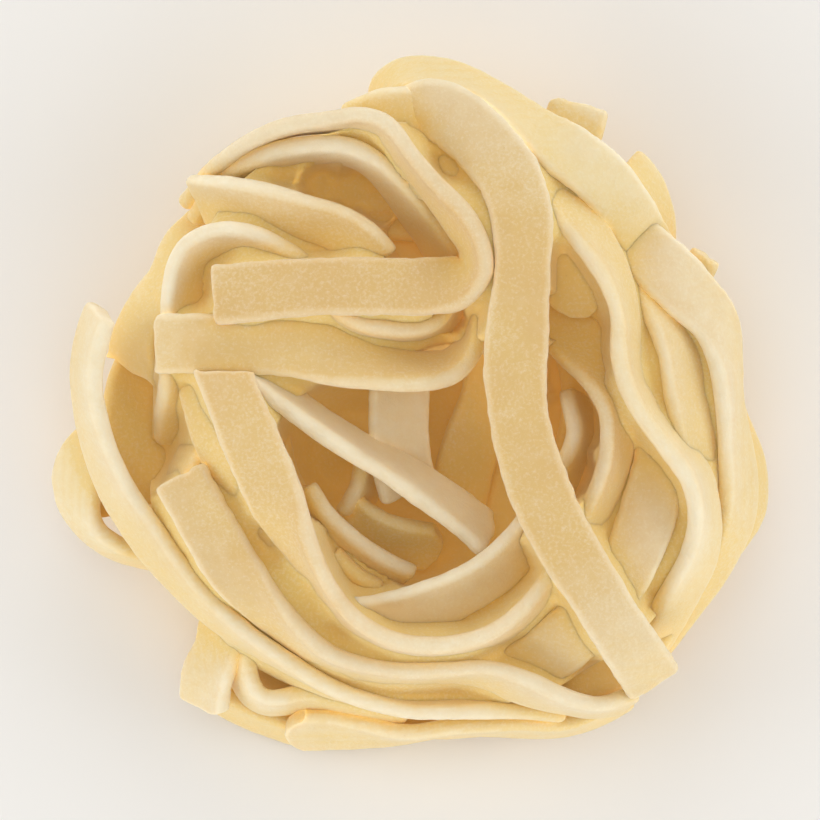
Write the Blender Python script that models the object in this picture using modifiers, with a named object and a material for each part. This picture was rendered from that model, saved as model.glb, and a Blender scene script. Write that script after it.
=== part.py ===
"""A nest of fresh ribbon pasta: a smaller core with the ribbons that show fused on to it.

Lengths in the tables are millimetres and angles are degrees; Blender gets metres.
"""

import math
import random

import bmesh
import bpy
import numpy as np
from mathutils import Vector

MM = 0.001

# Driving sizes
RIBBON_WIDTH = 7.5
RIBBON_THICKNESS = 2.2
CONTACT_GAP = 1.85  # centre planes of touching ribbons, under the thickness so that they fuse
ROUTE_STEP = 2.0  # spacing of the points that the ribbons settle at
MESH_STEP = 3.9  # spacing of the sections that the solid keeps
LEAST_SECTIONS = 8
END_TAPER = 0.92  # a cut end is slightly narrower than the ribbon

# Core: outer radius and height from the rim down to the base, then the hollow's wall and floor
CORE_CENTRE = (1.0, -3.0)
CORE_BASE_RADIUS = 31.0
CORE_WAIST_RADIUS = 32.5
CORE_CREST_RADIUS = 21.5
CORE_CREST_HEIGHT = 22.5
HOLLOW_RADIUS = 13.0
HOLLOW_FLOOR = 11.0
CORE_SIDES = 28

# Outer wall of the nest: its reach from the middle every 30 degrees, anticlockwise from +X
REACH_STEP = 30
REACH = (41.0, 38.5, 38.5, 37.5, 37.5, 35.0, 34.5, 37.5, 40.5, 40.5, 42.0, 43.0)

# Hand-laid ribbons. Each point of a route is x, y, height and roll: the roll tips the upper face
# to the left of the way that the route runs, and to the right where it is negative.
TOP_RIBBONS = {
    "crossing": [
        (-3.8, 33.4, 23.5, -5), (-1, 35.2, 25.5, 0), (1.2, 36.3, 27, 0), (3, 36.8, 28.2, 0),
        (5, 36.3, 29.3, 0), (7.3, 34.6, 30.4, 0), (10, 31.9, 32, 0), (12.4, 28.6, 33.6, 0),
        (13.8, 24, 34.8, 0), (14, 19, 35, 0), (13.5, 12, 35, 0), (13, 5, 35, 0), (13.3, 0, 34.6, 0),
        (14.3, -5, 34.2, 0), (16, -10, 34, 0), (18.2, -15, 33.6, 0), (21.2, -20, 33, 0),
        (24.4, -25, 31.5, 0), (27.6, -30, 28, 0), (30.3, -34.1, 22.5, 0),
    ],
    "under_crossing": [
        (-6.5, 34.6, 23, -5), (-2.8, 36.2, 25, -6), (1.2, 36.2, 27, -8), (4.4, 34.4, 28.4, -12),
        (6.7, 31.4, 29.3, -12), (8.2, 28, 29.6, -12), (9.7, 23.5, 30, -10), (10.8, 17, 28, -5),
    ],
    "folded_back": [
        (-26.6, 26.4, 16, -80), (-24.2, 29.3, 20, -84), (-22, 31.2, 22.5, -86), (-19.3, 33, 25, -86),
        (-15, 34.8, 27.5, -86), (-10, 35.5, 29, -84), (-6, 35.7, 30, -78), (-3.2, 34.6, 31, -76),
        (-0.1, 30.7, 32, -76), (3.2, 26.8, 32.3, -75), (6.1, 23.3, 32.5, -67), (8.2, 19.5, 32.5, -70),
        (7.9, 17, 32.3, -60), (5.9, 15.6, 32, -35), (2, 15.1, 32, -14), (-5, 15.1, 32, -10),
        (-12, 15, 32, -12), (-18.5, 14.5, 31.5, -14), (-24.4, 14, 30.6, -10),
    ],
    "inner_arch": [
        (-26, 24.5, 14, -70), (-24, 27.8, 18, -74), (-21.3, 29.8, 21, -76), (-18, 31.2, 23, -76),
        (-14.5, 32, 24.5, -76), (-11, 32.3, 25.5, -76), (-7.7, 31.9, 26, -76), (-5, 30.6, 26, -76),
        (-2.6, 28.4, 25.7, -72), (0, 25.4, 25, -66), (2.4, 22.4, 24, -62), (4.6, 19, 23, -60),
    ],
    "upper_slat": [
        (-26, 26.3, 19.8, -30), (-23.8, 26.2, 23, -38), (-20.5, 25.8, 25.2, -46), (-16, 24.7, 27, -48),
        (-12.5, 23.7, 27.5, -48), (-9.2, 22.6, 27.8, -45), (-6.6, 20.8, 28, -40), (-4.4, 18, 27.8, -30),
    ],
    "left_shoulder": [
        (-13, 15.8, 25, 60), (-16.5, 18.6, 25.5, 60), (-20.5, 20.3, 26, 60), (-24.2, 20.4, 26, 58),
        (-27, 18.6, 25.8, 55), (-27.9, 15.5, 25.5, 52), (-28.1, 12, 25.2, 50), (-27.9, 6.5, 24.6, 45),
        (-27.6, 1.8, 23.2, 34), (-27.6, -1.2, 20.8, 20), (-27.7, -4, 17.6, 10),
    ],
    "lower_slat": [
        (9.6, 17.6, 24, -78), (8.3, 12.3, 26, -80), (7.6, 8.4, 27.2, -76), (5, 5.4, 28, -64),
        (0.2, 4.7, 28.6, -58), (-5, 5.6, 29, -42), (-10, 6.7, 29.3, -18), (-15, 7.6, 29.5, -5),
        (-21, 7.9, 29.5, 0), (-27, 7.9, 29, 0), (-31.6, 7.9, 27, 0),
    ],
    "lens_arc": [
        (-11, 12.2, 28, -70), (-8, 10.5, 28, -76), (-5, 9.6, 27.8, -78), (-1.5, 9.2, 27.5, -78),
        (1.5, 9.4, 27.2, -78), (4, 10.7, 26.8, -78), (5.4, 13.4, 26, -78),
    ],
    "left_strap": [
        (-23.3, 4.8, 30, 0), (-21.5, 0, 30.4, 0), (-19.4, -5, 30.4, -4), (-17.1, -10.3, 30, -20),
        (-14.3, -16, 29, -58), (-11, -21.6, 28.2, -76), (-7.3, -26.3, 27.8, -80), (-2, -29.3, 27.5, -82),
        (4, -29.8, 27.5, -84), (9.1, -28.8, 27.5, -81), (13.3, -26.5, 27.3, -77),
        (16.7, -22.9, 27.2, -75), (19.8, -18.4, 27.4, -70), (22.5, -13.8, 27.6, -66),
        (24.6, -9.3, 27.8, -65), (25.6, -5, 27.8, -65), (25.6, -0.5, 27.4, -62), (24.2, 3.6, 26.6, -48),
        (21.8, 7.2, 25.6, -28), (19, 10.5, 24.6, -15), (15.5, 13.5, 23.5, -10),
    ],
    "left_tuck": [
        (-25.6, 3.4, 26.4, -30), (-24.6, -1, 27.6, -32), (-23.4, -5.2, 27.8, -36), (-21.6, -9, 27.2, -44),
        (-19.4, -13, 26, -52), (-17, -17.5, 24, -58),
    ],
    "left_edge_strip": [
        (-23.5, 3.5, 23, -70), (-25.6, -0.6, 24, -70), (-27, -4.2, 24, -70), (-28.6, -8.2, 23.4, -70),
        (-29.8, -12, 21.5, -70),
    ],
    "outer_left_strap": [
        (-28.6, -8.3, 25.6, -12), (-25.3, -14.4, 26, -12), (-21.8, -20.2, 25.6, -20),
        (-16.4, -26.3, 24.8, -58), (-10.9, -30.7, 24.2, -76), (-5, -32.8, 24, -76), (0, -33.1, 24, -80),
        (5, -32.8, 24.2, -80), (9.7, -33, 24.2, -70), (13.9, -34.4, 23.6, -67), (18.8, -36.3, 22, -76),
        (23, -37.1, 20, -80), (27.3, -36.4, 18, -76),
    ],
    "left_loop": [
        (-38.8, 11.6, 25.5, -66), (-39.8, 8.5, 25.5, -67), (-40.5, 4.5, 25, -68), (-40.3, 1, 24.4, -68),
        (-39.2, -4, 23, -66), (-37, -9.7, 21.5, -62), (-33.7, -15.2, 20, -58), (-30.5, -19.4, 19.6, -62),
        (-26.6, -23.8, 19.4, -68), (-21.5, -28, 19, -76), (-16, -31.6, 18.7, -82),
        (-10.2, -34.7, 18.5, -92), (-5, -36.3, 18.3, -100), (0, -37.1, 18, -106), (5, -36.9, 17.6, -108),
        (9.5, -36.6, 17, -106), (13.6, -36.6, 16, -100), (18, -37.4, 14.5, -90),
    ],
    "left_wall": [
        (-25.2, 23, 15.5, -30), (-28.4, 20.2, 17, -40), (-30.2, 16, 18, -46), (-33.2, 11.8, 18.6, -44),
        (-34.8, 7.6, 18.4, -36), (-34.4, 4.2, 17.8, -30),
    ],
    "shaded_left": [
        (-31.5, 8, 14, 10), (-34.2, 4, 14.6, 18), (-35.2, 0, 14.6, 22), (-35, -4, 14.2, 22),
        (-33.4, -8, 13.6, 15), (-31.9, -11, 13, 5),
    ],
    "far_left_loop": [
        (-33, -2.4, 12.5, -40), (-37, -3, 12.5, -40), (-40, -5, 12.5, -36), (-41.6, -7.8, 12.5, -36),
        (-41.8, -10.6, 12.3, -44), (-41.3, -13.4, 12, -62), (-39.7, -15.8, 11.6, -74),
        (-36.8, -17.6, 11, -78), (-33, -18.6, 10, -78), (-29, -19, 9.4, -76),
    ],
    "far_left_fill": [
        (-36.6, -1, 9.6, -20), (-38.4, -5, 9.8, -20), (-39.3, -8.8, 9.6, -24), (-38.9, -13.2, 9.2, -28),
    ],
    "hollow_diagonal": [
        (-20, 5, 27, 60), (-15.3, 1.2, 26, 68), (-10.7, -2.3, 25, 72), (-6.5, -4.9, 24.2, 70),
        (-1.5, -7.8, 23.4, 64), (3, -10.8, 22.6, 58), (6.8, -13.6, 21.8, 54), (9.6, -15.9, 21, 52),
    ],
    "hollow_lower": [
        (-13.8, -10.2, 21.6, -66), (-11.8, -13.3, 21.2, -70), (-9.2, -15.9, 20.6, -72),
        (-6, -18.3, 20, -72), (-3, -20.1, 19.4, -72), (-0.6, -21.3, 18.8, -70),
    ],
    "hollow_floor": [
        (-9.5, -12.4, 16.6, -30), (-4.8, -15.4, 17.2, -40), (-0.3, -16.6, 17.2, -42),
        (3.2, -17.2, 16.6, -38),
    ],
    "hollow_upright": [
        (-1.2, 7, 20, 22), (-1.6, 1, 21, 22), (-1.7, -3.5, 21, 22), (-1.2, -8, 20, 20),
        (-0.5, -11, 18.4, 18),
    ],
    "hollow_wall": [(11.5, 7, 16, 15), (9.8, 1, 16, 15), (7.6, -5, 15.4, 12), (5.6, -12.5, 13.6, 8)],
    "hollow_curl": [(-5.7, -7, 16.4, 70), (-6.3, -10.4, 16.4, 70), (-8, -13.4, 15.8, 70)],
    "hollow_corner": [(-10.4, -18.6, 19, -70), (-7.7, -21.4, 18.6, -70), (-4.6, -23.2, 18, -70)],
    "right_under": [
        (33, 0.5, 22, 15), (32, -3.5, 24, 10), (31.2, -8, 25.2, 8), (30, -12, 25.8, 6),
        (28.4, -17, 26, 6), (25.6, -22, 26, 8), (22.3, -26.3, 25.6, 12), (19.2, -29.4, 25, 15),
        (15.6, -32, 23.6, 18), (12, -33.9, 22, 20),
    ],
    "inner_lower_arc": [
        (-8.5, -27.2, 22.6, -34), (-5, -26.6, 23.8, -38), (-1, -25.6, 24.6, -40), (3, -24.3, 25, -40),
        (7, -22.6, 25.2, -42), (10.6, -20.3, 25, -46), (13.8, -17.2, 24.4, -52), (16.8, -12.6, 23.4, -62),
        (19.4, -8.4, 22.2, -70), (21.2, -3.6, 21, -76), (20.6, 1.8, 19.6, -70),
    ],
    "right_curve": [
        (15.8, 30, 28, 30), (19.6, 25.8, 30, 45), (23, 21, 31, 55), (25.6, 16.2, 31.2, 64),
        (26.8, 11.3, 31.2, 70), (26.9, 7, 31.2, 72), (27.9, 2.9, 31, 74), (30, -0.9, 30.4, 74),
        (33.1, -4.8, 29.4, 72), (35.6, -8.9, 28, 68), (36.4, -13.5, 26.2, 64), (35.8, -18.2, 24, 60),
        (33.7, -23.2, 21, 58), (31.4, -27.6, 17.8, 56), (28.8, -31.6, 14, 54),
    ],
    "right_shoulder": [
        (20.5, 25.6, 25, 8), (24.2, 22.8, 25.4, 10), (27.6, 20.3, 25.8, 12), (30.8, 17.6, 26.2, 16),
        (34.2, 14.4, 25.6, 24), (38, 10.7, 24.4, 38), (39.4, 6, 23.2, 62), (39.9, 1, 22.2, 70),
        (40.4, -4, 21.2, 64), (40.8, -9, 20, 60), (40.5, -13.6, 18.8, 58), (38.5, -18.4, 17.2, 56),
        (35.2, -23.2, 15.2, 54), (31.8, -27.8, 12.6, 50), (28.8, -31.4, 10.4, 48),
    ],
    "right_inner_ridge": [
        (29.8, 16.8, 24.4, 35), (32, 12, 25.4, 45), (33.4, 7.5, 25.8, 50), (34, 2.5, 25.8, 52),
        (35.2, -2.8, 25.2, 52), (36.8, -7.6, 24, 52), (38, -12, 22.4, 52),
    ],
    "top_loop": [
        (-2.2, 36.3, 19, 60), (-3, 39, 20, 60), (-1.3, 41, 21.6, 60), (2, 41.4, 23.4, 60),
        (6, 40.6, 25.2, 60), (9.8, 38.6, 27, 60), (13, 36.3, 28.6, 56), (16.2, 33.8, 29.8, 44),
        (20.1, 30.9, 30, 18), (24, 27.6, 29, 10), (27.2, 23.4, 26.6, 14), (30, 19.6, 23.6, 22),
        (32.2, 15.8, 20.6, 30), (34, 11.6, 18, 36),
    ],
    "hanging_tongue": [
        (18.6, 28.5, 27, 0), (20, 22.5, 27.4, 0), (20.8, 16.9, 26.6, 0), (20.8, 11.3, 24.6, 0),
    ],
    "top_cut_end": [
        (16.6, 19.5, 16.5, 0), (17.8, 24.4, 20, 0), (18.9, 28.8, 21.6, 0), (19.9, 33.1, 20.8, 0),
        (21.2, 37.9, 20, 0),
    ],
    "back_shoulder": [
        (27, 30.4, 18, 50), (29.1, 28.4, 18, 54), (30.3, 25.8, 17.6, 56), (31, 22.4, 16.6, 58),
        (30.4, 18, 15, 60), (26.4, 13.5, 14, 62),
    ],
    "right_cut_end": [(32.4, 11.4, 15, 72), (34.8, 15, 15.6, 72), (36.6, 18.6, 16, 72)],
    "right_flank": [
        (38.6, 2, 12.5, 62), (40.4, -2.4, 12.5, 62), (42.4, -7.2, 12.4, 62), (42.6, -12.2, 12.2, 62),
        (40.6, -16.2, 12, 62), (37.6, -19.9, 11.6, 62), (34.2, -24, 11, 62), (31.6, -27.6, 10.4, 64),
        (29, -31, 9.6, 64),
    ],
    "front_upper": [
        (-15.6, -40.3, 9, -56), (-10, -40.3, 10, -57), (-5, -40.6, 11, -70), (0, -40.8, 12, -84),
        (5, -40.1, 12.5, -86), (10, -39.9, 12.5, -82), (15, -39.7, 12.5, -79), (20, -39.4, 12, -79),
        (24.2, -37.9, 11, -76), (27.8, -35.6, 10, -70),
    ],
    "front_middle": [
        (-20, -37, 4.6, -70), (-13, -39.4, 5, -74), (-5, -39.8, 5.2, -76), (3, -39.2, 5.2, -76),
        (11, -38.9, 5.2, -76), (19, -38.6, 5.2, -74), (26, -35.6, 5.2, -70), (31, -31, 5, -70),
    ],
    "front_corner": [
        (-21.4, -24.6, 13.6, -34), (-22.4, -29.3, 12.6, -36), (-24.2, -33.4, 11, -38),
        (-24.8, -37, 9, -40),
    ],
    "front_lower": [
        (-25.6, -35.4, 5, -66), (-22.2, -37.4, 4.8, -68), (-18, -39.2, 4.6, -70), (-13, -40.6, 4.4, -70),
        (-7.5, -40.7, 4.4, -72), (-1, -39.8, 4.4, -76), (5, -38.6, 4.4, -76),
    ],
    "front_curl": [
        (-21.6, -28.8, 13.6, -66), (-21.6, -33, 13.2, -70), (-20.2, -36, 13, -74),
        (-17.6, -37.2, 13.2, -76), (-14.4, -36.6, 13, -76), (-11, -36.7, 13, -74), (-6, -38, 12.8, -72),
        (-1, -39.2, 12, -74),
    ],
    "front_fill": [
        (14, -34.5, 15.5, 0), (18.5, -34, 16.5, 0), (23, -32.6, 17, 0), (27.5, -29.8, 16.5, 0),
        (30.3, -26.3, 15.5, 0),
    ],
}

# Wound ribbons round the outer wall, by a rule: rings of arcs, each tilted and staggered
WOUND_LEVELS = (4.2, 8.5, 13.0)  # heights of the rings
WOUND_INSETS = (3.5, 3.0, 5.0)  # how far inside the reach each ring runs
WOUND_ARCS = 3  # arcs in a ring
WOUND_SPAN = 150.0  # degrees that an arc covers
WOUND_TILT = 2.6  # rise and fall along an arc
WOUND_SEED = 11


def clear_scene():
    for old in list(bpy.data.objects):
        bpy.data.objects.remove(old)


def reach(angle):
    """Reach of the outer wall at an angle in degrees, smooth between the values every 30 degrees."""
    place = (angle % 360) / REACH_STEP
    first = int(place)
    share = 0.5 - 0.5 * math.cos(math.pi * (place - first))
    return REACH[first % len(REACH)] * (1 - share) + REACH[(first + 1) % len(REACH)] * share


def wound_ribbons():
    """Routes of the ribbons wound round the outer wall."""
    draw = random.Random(WOUND_SEED)
    routes = {}
    for ring, (level, inset) in enumerate(zip(WOUND_LEVELS, WOUND_INSETS)):
        for arc in range(WOUND_ARCS):
            start = 360 * arc / WOUND_ARCS + 47 * ring + draw.uniform(-12, 12)
            tilt = draw.uniform(0.5, 1.0) * WOUND_TILT * draw.choice((-1, 1))
            points = []
            for step in range(8):
                share = step / 7
                angle = start + WOUND_SPAN * share
                radius = reach(angle) - inset + draw.uniform(-0.8, 0.8)
                height = max(3.9, level + tilt * math.cos(math.pi * share))
                roll = -68 + draw.uniform(-8, 8)
                x, y = radius * math.cos(math.radians(angle)), radius * math.sin(math.radians(angle))
                points.append((x, y, height, roll))
            routes[f"wound_{ring}_{arc}"] = points
    return routes


def smooth_route(knots, step):
    """A smooth curve through the knots, as points of x, y, z and roll that lie step apart."""
    knots = np.array(knots, float)
    chord = np.linalg.norm(np.diff(knots[:, :3], axis=0), axis=1)
    at = np.concatenate([[0], np.cumsum(np.sqrt(chord))])
    slopes = np.gradient(knots, at, axis=0)
    dense = []
    for i in range(len(knots) - 1):
        span = at[i + 1] - at[i]
        t = np.linspace(0, 1, 12, endpoint=False)[:, None]
        dense.append(
            (2 * t**3 - 3 * t**2 + 1) * knots[i]
            + (t**3 - 2 * t**2 + t) * span * slopes[i]
            + (3 * t**2 - 2 * t**3) * knots[i + 1]
            + (t**3 - t**2) * span * slopes[i + 1]
        )
    return spaced(np.concatenate([*dense, knots[-1:]]), step)


def spaced(points, step):
    """The same polyline with its points step apart, or a little less."""
    run = np.concatenate([[0], np.cumsum(np.linalg.norm(np.diff(points[:, :3], axis=0), axis=1))])
    count = max(3, math.ceil(run[-1] / step) + 1)
    even = np.linspace(0, run[-1], count)
    return np.stack([np.interp(even, run, points[:, k]) for k in range(points.shape[1])], axis=1)


def across(points):
    """Direction across the ribbon at each point, and the normal of its upper face."""
    along = np.gradient(points[:, :3], axis=0)
    along /= np.linalg.norm(along, axis=1)[:, None]
    left = np.stack([-along[:, 1], along[:, 0], np.zeros(len(along))], axis=1)
    left /= np.linalg.norm(left, axis=1)[:, None]
    upper = np.cross(along, left)
    roll = np.radians(points[:, 3])[:, None]
    return np.cos(roll) * left - np.sin(roll) * upper, np.cos(roll) * upper + np.sin(roll) * left


def close_pairs(places, owner, within):
    """Index pairs of places on different ribbons that lie closer than this."""
    first, second = [], []
    for start in range(0, len(places), 400):
        block = places[start : start + 400]
        apart = np.linalg.norm(block[:, None] - places[None], axis=2)
        rows, columns = np.nonzero((apart < within) & (owner[start : start + 400, None] < owner[None]))
        first.append(rows + start)
        second.append(columns)
    return np.concatenate(first), np.concatenate(second)


def settle(routes, rounds=90):
    """Pushes ribbons that run through each other apart, mostly up and down, as if they were laid."""
    points = np.concatenate(routes)
    ends = np.cumsum([len(r) for r in routes])[:-1]
    lanes = np.linspace(-0.5, 0.5, 4) * (RIBBON_WIDTH - RIBBON_THICKNESS)
    sideways = np.concatenate([across(r)[0] for r in routes])
    owner = np.repeat(np.arange(len(routes)), [len(r) for r in routes])
    sample = np.repeat(np.arange(len(points)), len(lanes))
    offsets = (sideways[:, None] * lanes[None, :, None]).reshape(-1, 3)
    home = points[:, :3].copy()
    moved = np.zeros_like(home)
    stiffness = np.array([0.45, 0.45, 1.0])  # less sideways than up and down
    for turn in range(rounds):
        places = (home + moved)[sample] + offsets
        if turn % 15 == 0:
            a, b = close_pairs(places, owner[sample], CONTACT_GAP + 2.5)
        gap = places[b] - places[a]
        distance = np.linalg.norm(gap, axis=1)
        touching = distance < CONTACT_GAP
        near_a, near_b, gap = a[touching], b[touching], gap[touching]
        lift = np.where(gap[:, 2] < 0, -1.0, 1.0)
        way = gap * stiffness + np.stack([0 * lift, 0 * lift, 0.4 * lift], axis=1)
        way /= np.linalg.norm(way, axis=1)[:, None]
        push = way * (0.5 * (CONTACT_GAP - distance[touching]))[:, None]
        total, hits = np.zeros_like(home), np.zeros(len(home))
        for side, sign in ((near_a, -1), (near_b, 1)):
            np.add.at(total, sample[side], sign * push)
            np.add.at(hits, sample[side], 1)
        moved += 1.2 * total / np.maximum(hits, 1)[:, None]
        moved = np.concatenate([eased(part) for part in np.split(moved, ends)])
        floor = RIBBON_THICKNESS / 2 - (home + moved)[:, 2]
        moved[:, 2] += np.maximum(floor, 0)
    points[:, :3] = home + moved
    return np.split(points, ends)


def eased(part):
    """Evens out a displacement along one ribbon, as its stiffness does."""
    inner = 0.5 * part[1:-1] + 0.25 * (part[:-2] + part[2:])
    return np.concatenate([part[:1] * 0.5 + part[1:2] * 0.5, inner, part[-2:-1] * 0.5 + part[-1:] * 0.5])


def ribbon_object(name, points, collection):
    """One ribbon as a closed bar of rectangular section that follows its points."""
    length = np.linalg.norm(np.diff(points[:, :3], axis=0), axis=1).sum()
    points = spaced(points, min(MESH_STEP, length / LEAST_SECTIONS))
    sideways, upwards = across(points)
    half_width = np.full(len(points), RIBBON_WIDTH / 2)
    half_width[[0, -1]] *= END_TAPER
    mesh = bmesh.new()
    rings = []
    for place, side, up, half in zip(points[:, :3], sideways, upwards, half_width):
        thick = RIBBON_THICKNESS / 2
        corners = [(half, thick), (-half, thick), (-half, -thick), (half, -thick)]
        rings.append([mesh.verts.new(Vector(place + side * u + up * v) * MM) for u, v in corners])
    for near, far in zip(rings, rings[1:]):
        for k in range(4):
            mesh.faces.new((near[k], near[k - 1], far[k - 1], far[k]))
    mesh.faces.new(rings[0])
    mesh.faces.new(rings[-1][::-1])
    bmesh.ops.recalc_face_normals(mesh, faces=mesh.faces)
    data = bpy.data.meshes.new(name)
    mesh.to_mesh(data)
    mesh.free()
    made = bpy.data.objects.new(name, data)
    collection.objects.link(made)
    return made


def core_object(name, collection):
    """The core: a turned mound with a hollow in the middle, where ribbons are too deep to show."""
    profile = [
        (0, HOLLOW_FLOOR),
        (HOLLOW_RADIUS * 0.6, HOLLOW_FLOOR),
        (HOLLOW_RADIUS, HOLLOW_FLOOR + 4),
        (CORE_CREST_RADIUS - 4, CORE_CREST_HEIGHT - 2),
        (CORE_CREST_RADIUS, CORE_CREST_HEIGHT),
        (CORE_CREST_RADIUS + 5, CORE_CREST_HEIGHT - 2),
        (CORE_WAIST_RADIUS - 2, CORE_CREST_HEIGHT - 9),
        (CORE_WAIST_RADIUS, CORE_CREST_HEIGHT - 15),
        (CORE_BASE_RADIUS, -2),
        (0, -2),
    ]
    mesh = bpy.data.meshes.new(name)
    edges = [(i, i + 1) for i in range(len(profile) - 1)]
    mesh.from_pydata([(r * MM, 0, z * MM) for r, z in profile], edges, [])
    core = bpy.data.objects.new(name, mesh)
    core.location = (CORE_CENTRE[0] * MM, CORE_CENTRE[1] * MM, 0)
    collection.objects.link(core)
    turn = core.modifiers.new("Turn", "SCREW")
    turn.axis = "Z"
    turn.steps = turn.render_steps = CORE_SIDES
    turn.use_merge_vertices = True
    turn.merge_threshold = 0.00005
    turn.use_normal_calculate = True
    return core


def applied(obj):
    """The object with its modifiers made permanent."""
    bpy.context.view_layer.update()
    graph = bpy.context.evaluated_depsgraph_get()
    data = bpy.data.meshes.new_from_object(obj.evaluated_get(graph))
    obj.modifiers.clear()
    obj.data = data
    return obj


def boolean(obj, operation, other):
    cut = obj.modifiers.new("Join" if operation == "UNION" else "Cut", "BOOLEAN")
    cut.operation = operation
    cut.solver = "MANIFOLD"
    if isinstance(other, bpy.types.Collection):
        cut.operand_type = "COLLECTION"
        cut.collection = other
    else:
        cut.object = other
    return applied(obj)


def keep_largest_shell(obj):
    """Drops loose scraps, and the inner shells of hollows that fusing sealed."""
    mesh = bmesh.new()
    mesh.from_mesh(obj.data)
    bmesh.ops.triangulate(mesh, faces=mesh.faces)
    left, shells = set(mesh.faces), []
    while left:
        seed = left.pop()
        shell, edge_of = [seed], [seed]
        while edge_of:
            face = edge_of.pop()
            touching = [edge.link_faces for edge in face.edges if len(edge.link_faces) == 2]
            for beside in {near for pair in touching for near in pair} & left:
                left.remove(beside)
                shell.append(beside)
                edge_of.append(beside)
        shells.append(shell)
    shells.sort(key=len)
    for scrap in shells[:-1]:
        bmesh.ops.delete(mesh, geom=scrap, context="FACES")
    loose = [v for v in mesh.verts if not v.link_faces]
    bmesh.ops.delete(mesh, geom=loose, context="VERTS")
    mesh.to_mesh(obj.data)
    mesh.free()


def pasta_material():
    pasta = bpy.data.materials.new("fresh_pasta")
    pasta.use_nodes = True
    shader = pasta.node_tree.nodes["Principled BSDF"]
    shader.inputs["Base Color"].default_value = (0.80, 0.60, 0.33, 1)
    shader.inputs["Roughness"].default_value = 0.62
    shader.inputs["Metallic"].default_value = 0.0
    return pasta


def centre_on_base(obj):
    """Moves the mesh so that the middle of its base is the origin."""
    corners = [Vector(c) for c in obj.bound_box]
    low = Vector(min(c[k] for c in corners) for k in range(3))
    high = Vector(max(c[k] for c in corners) for k in range(3))
    for vertex in obj.data.vertices:
        vertex.co -= Vector(((low.x + high.x) / 2, (low.y + high.y) / 2, low.z))


def main():
    clear_scene()
    scene = bpy.context.scene.collection
    part = bpy.data.collections.new("fresh_pasta_nest")
    strands = bpy.data.collections.new("ribbons_to_join")
    scene.children.link(part)
    scene.children.link(strands)

    named = {**TOP_RIBBONS, **wound_ribbons()}
    laid = settle([smooth_route(knots, ROUTE_STEP) for knots in named.values()])
    for name, points in zip(named, laid):
        ribbon_object(name, points, strands)

    nest = applied(core_object("pasta_nest", part))
    nest = boolean(nest, "UNION", strands)
    for ribbon in list(strands.objects):
        bpy.data.objects.remove(ribbon)
    bpy.data.collections.remove(strands)

    bpy.ops.mesh.primitive_cube_add(size=0.2, location=(0, 0, -0.1))
    ground = bpy.context.object
    nest = boolean(nest, "DIFFERENCE", ground)
    bpy.data.objects.remove(ground)

    keep_largest_shell(nest)
    nest.matrix_world.translation = (0, 0, 0)
    centre_on_base(nest)
    nest.data.materials.clear()
    nest.data.materials.append(pasta_material())


main()
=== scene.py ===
# Fresh pasta nest, dressed: ribbons of egg dough laid over a core, on a pale floor.
# Routes are in millimetres and degrees, as in the solid; Blender gets metres.

import itertools
import math
import random

import bpy
import numpy as np
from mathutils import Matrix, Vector


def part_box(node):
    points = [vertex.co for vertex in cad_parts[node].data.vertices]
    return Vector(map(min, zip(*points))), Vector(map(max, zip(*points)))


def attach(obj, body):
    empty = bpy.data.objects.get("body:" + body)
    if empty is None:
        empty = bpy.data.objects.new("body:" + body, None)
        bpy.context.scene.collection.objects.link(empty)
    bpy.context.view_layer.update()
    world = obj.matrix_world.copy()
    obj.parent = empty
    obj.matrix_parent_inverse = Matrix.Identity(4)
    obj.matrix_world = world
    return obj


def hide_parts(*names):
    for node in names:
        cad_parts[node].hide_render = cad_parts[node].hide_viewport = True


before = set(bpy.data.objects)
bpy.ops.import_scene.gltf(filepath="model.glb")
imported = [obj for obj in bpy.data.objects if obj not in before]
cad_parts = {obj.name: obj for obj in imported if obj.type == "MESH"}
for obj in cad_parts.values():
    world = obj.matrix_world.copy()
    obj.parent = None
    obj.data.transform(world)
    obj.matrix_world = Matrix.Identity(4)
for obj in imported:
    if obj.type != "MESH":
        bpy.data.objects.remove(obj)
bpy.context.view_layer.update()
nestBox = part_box("pasta_nest")
mm = 0.001
print("frame loaded")

# The ribbon, and how unevenly it was cut and rolled. A drift is an amount and the length that it takes
ribbon = {
    "width": 7.5,
    "thickness": 2.2,
    "corner": 0.95,
    "flatPoints": 8,
    "arcPoints": 3,
    "sectionStep": 0.6,
    "widthDrift": (0.30, 9.0),
    "thicknessDrift": (0.16, 7.0),
    "cup": 0.16,
    "cupDrift": (1.6, 16.0),
    "cupLevel": 0.35,  # lowers the cupped middle, so that the ribbon stays at its height
    "edgeRough": 0.10,
    "edgeReach": (1.3, 0.7),
    "edgeFine": 0.6,
    "surfaceDrift": (0.10, 4.5),
    "surfaceGrain": 0.035,
    "grainReach": (1.1, 0.7),
    "grainFine": 0.7,
    "endSections": (0, 0.06, 0.2),
    "endRound": 0.55,
    "endTaper": (0.9, 0.8),  # shares of the rounding over the width and the thickness
    "endReach": 4.0,  # a torn end bends the sections this near to it
    "endJag": 0.2,
    "floorSoft": 0.5,  # lower places than this are eased on to the floor
    # painted highlight: cut faces and ends are paler, partly flour and partly a painted highlight
    "edgePaleAndHighlight": 0.55,
    "sidePale": 1.1,  # against a cut face, which is 1
    "endPale": 0.5,  # a ribbon pales this near to a cut face
    "warm": 0.12,
}
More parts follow.
